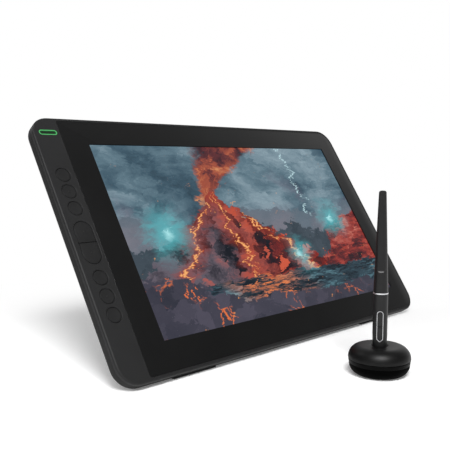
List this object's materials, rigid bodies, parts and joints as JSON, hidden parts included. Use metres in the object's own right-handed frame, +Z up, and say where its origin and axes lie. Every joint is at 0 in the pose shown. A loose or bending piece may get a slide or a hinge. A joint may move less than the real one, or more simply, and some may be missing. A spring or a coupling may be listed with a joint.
{
  "type": "graphics tablet with screen",
  "caption": "Pen display with a strip of press keys, propped on its folding stand, with its pen upright in a round weighted holder.",
  "frame": {"origin": "on the desk, in the middle of the footprint of the whole set", "axes": "+X to the right of the tablet, +Y away from its user, +Z up"},
  "size_m": [0.382, 0.2487, 0.1941],
  "materials": {
    "frame_plastic": "fine-textured dark grey plastic",
    "cover_glass": "clear laminated glass with a black printed border",
    "screen": "lit picture behind the glass",
    "light_guide": "white light guide",
    "circuit_board": "green solder mask",
    "sheet_aluminium": "stamped sheet",
    "steel": "plated steel",
    "ribbon": "amber film",
    "cover_paint": "fine-textured dark grey plastic",
    "rubber": "soft black rubber",
    "green_guide": "green light guide",
    "key_plastic": "smooth dark grey plastic",
    "stand_paint": "textured dark paint on metal",
    "nib_plastic": "black acetal",
    "pen_plastic": "satin black plastic",
    "pen_grip": "soft-touch black coat",
    "silver": "bright plating",
    "ferrite": "sintered ferrite",
    "copper": "lacquered copper wire",
    "holder_plastic": "matt black plastic",
    "lid_gloss": "polished black plastic"
  },
  "bodies": {
    "tablet": {"front_frame": "frame_plastic", "cover_glass": "cover_glass", "lcd_panel": "screen", "backlight": "light_guide", "pen_sensor_board": "circuit_board", "shield_plate": "sheet_aluminium", "main_board": "circuit_board", "key_board": "circuit_board", "key_switches": "steel", "usb_sockets": "steel", "panel_ribbon": "ribbon", "key_ribbon": "ribbon", "back_cover": "cover_paint", "case_screws": "steel", "board_screws": "steel", "hinge_screws": "steel", "back_pads": "rubber", "edge_feet": "rubber", "power_ring": "green_guide", "hinge_brackets": "steel", "hinge_pins": "steel", "hinge_washers": "steel"},
    "stand": {"stand_plate": "stand_paint", "stand_foot": "rubber"},
    "power": {"power_button": "key_plastic"},
    "upper_pill": {"upper_pill_key": "key_plastic"},
    "lower_pill": {"lower_pill_key": "key_plastic"},
    "holder": {"holder_base": "holder_plastic", "holder_pad": "rubber", "holder_weight": "steel", "holder_band": "holder_plastic", "nib_rack": "holder_plastic", "spare_nibs": "nib_plastic"},
    "lid": {"holder_lid": "lid_gloss", "socket_sleeve": "rubber"},
    "pen": {"pen_nose": "pen_plastic", "pen_grip": "pen_grip", "pen_ring": "silver", "pen_tail": "pen_plastic", "rocker_frame": "silver", "pen_board": "circuit_board", "pen_core": "ferrite", "pen_coil": "copper", "pressure_sensor": "sheet_aluminium"},
    "nib": {"pen_nib": "nib_plastic", "nib_carrier": "nib_plastic"},
    "upper_rocker": {"upper_pen_button": "pen_plastic"},
    "lower_rocker": {"lower_pen_button": "pen_plastic"},
    "key_1": {"round_key_1": "key_plastic"},
    "key_2": {"round_key_2": "key_plastic"},
    "key_3": {"round_key_3": "key_plastic"},
    "key_4": {"round_key_4": "key_plastic"},
    "key_5": {"round_key_5": "key_plastic"},
    "key_6": {"round_key_6": "key_plastic"}
  },
  "joints": [
    {"name": "key_1_press", "type": "slide", "parent": "tablet", "child": "key_1", "axis": [0, 0.8387, -0.5446], "range_m": [0, 0.0008], "stiffness_N_per_m": 1200},
    {"name": "key_2_press", "type": "slide", "parent": "tablet", "child": "key_2", "axis": [0, 0.8387, -0.5446], "range_m": [0, 0.0008], "stiffness_N_per_m": 1200},
    {"name": "key_3_press", "type": "slide", "parent": "tablet", "child": "key_3", "axis": [0, 0.8387, -0.5446], "range_m": [0, 0.0008], "stiffness_N_per_m": 1200},
    {"name": "key_4_press", "type": "slide", "parent": "tablet", "child": "key_4", "axis": [0, 0.8387, -0.5446], "range_m": [0, 0.0008], "stiffness_N_per_m": 1200},
    {"name": "key_5_press", "type": "slide", "parent": "tablet", "child": "key_5", "axis": [0, 0.8387, -0.5446], "range_m": [0, 0.0008], "stiffness_N_per_m": 1200},
    {"name": "key_6_press", "type": "slide", "parent": "tablet", "child": "key_6", "axis": [0, 0.8387, -0.5446], "range_m": [0, 0.0008], "stiffness_N_per_m": 1200},
    {"name": "upper_pill_press", "type": "slide", "parent": "tablet", "child": "upper_pill", "axis": [0, 0.8387, -0.5446], "range_m": [0, 0.0008], "stiffness_N_per_m": 1200},
    {"name": "lower_pill_press", "type": "slide", "parent": "tablet", "child": "lower_pill", "axis": [0, 0.8387, -0.5446], "range_m": [0, 0.0008], "stiffness_N_per_m": 1200},
    {"name": "power_press", "type": "slide", "parent": "tablet", "child": "power", "axis": [0, 0.8387, -0.5446], "range_m": [0, 0.0008], "stiffness_N_per_m": 1200},
    {"name": "stand_hinge", "type": "hinge", "parent": "tablet", "child": "stand", "pos_m": [0, 0.08093, 0.12677], "axis": [1, 0, 0], "range_deg": [-51, 35]},
    {"name": "holder_slide", "type": "slide", "parent": "tablet", "child": "holder", "axis": [1, 0, 0], "range_m": [-0.08, 0.12]},
    {"name": "lid_lift", "type": "slide", "parent": "holder", "child": "lid", "axis": [0, 0, 1], "range_m": [0, 0.03]},
    {"name": "pen_lift", "type": "slide", "parent": "lid", "child": "pen", "axis": [0, 0, 1], "range_m": [0, 0.06]},
    {"name": "nib_press", "type": "slide", "parent": "pen", "child": "nib", "axis": [0, 0, 1], "range_m": [0, 0.0004], "stiffness_N_per_m": 1500},
    {"name": "upper_rocker_press", "type": "slide", "parent": "pen", "child": "upper_rocker", "axis": [0.8443, 0.5358, 0], "range_m": [0, 0.0004], "stiffness_N_per_m": 1200},
    {"name": "lower_rocker_press", "type": "slide", "parent": "pen", "child": "lower_rocker", "axis": [0.8443, 0.5358, 0], "range_m": [0, 0.0004], "stiffness_N_per_m": 1200}
  ]
}
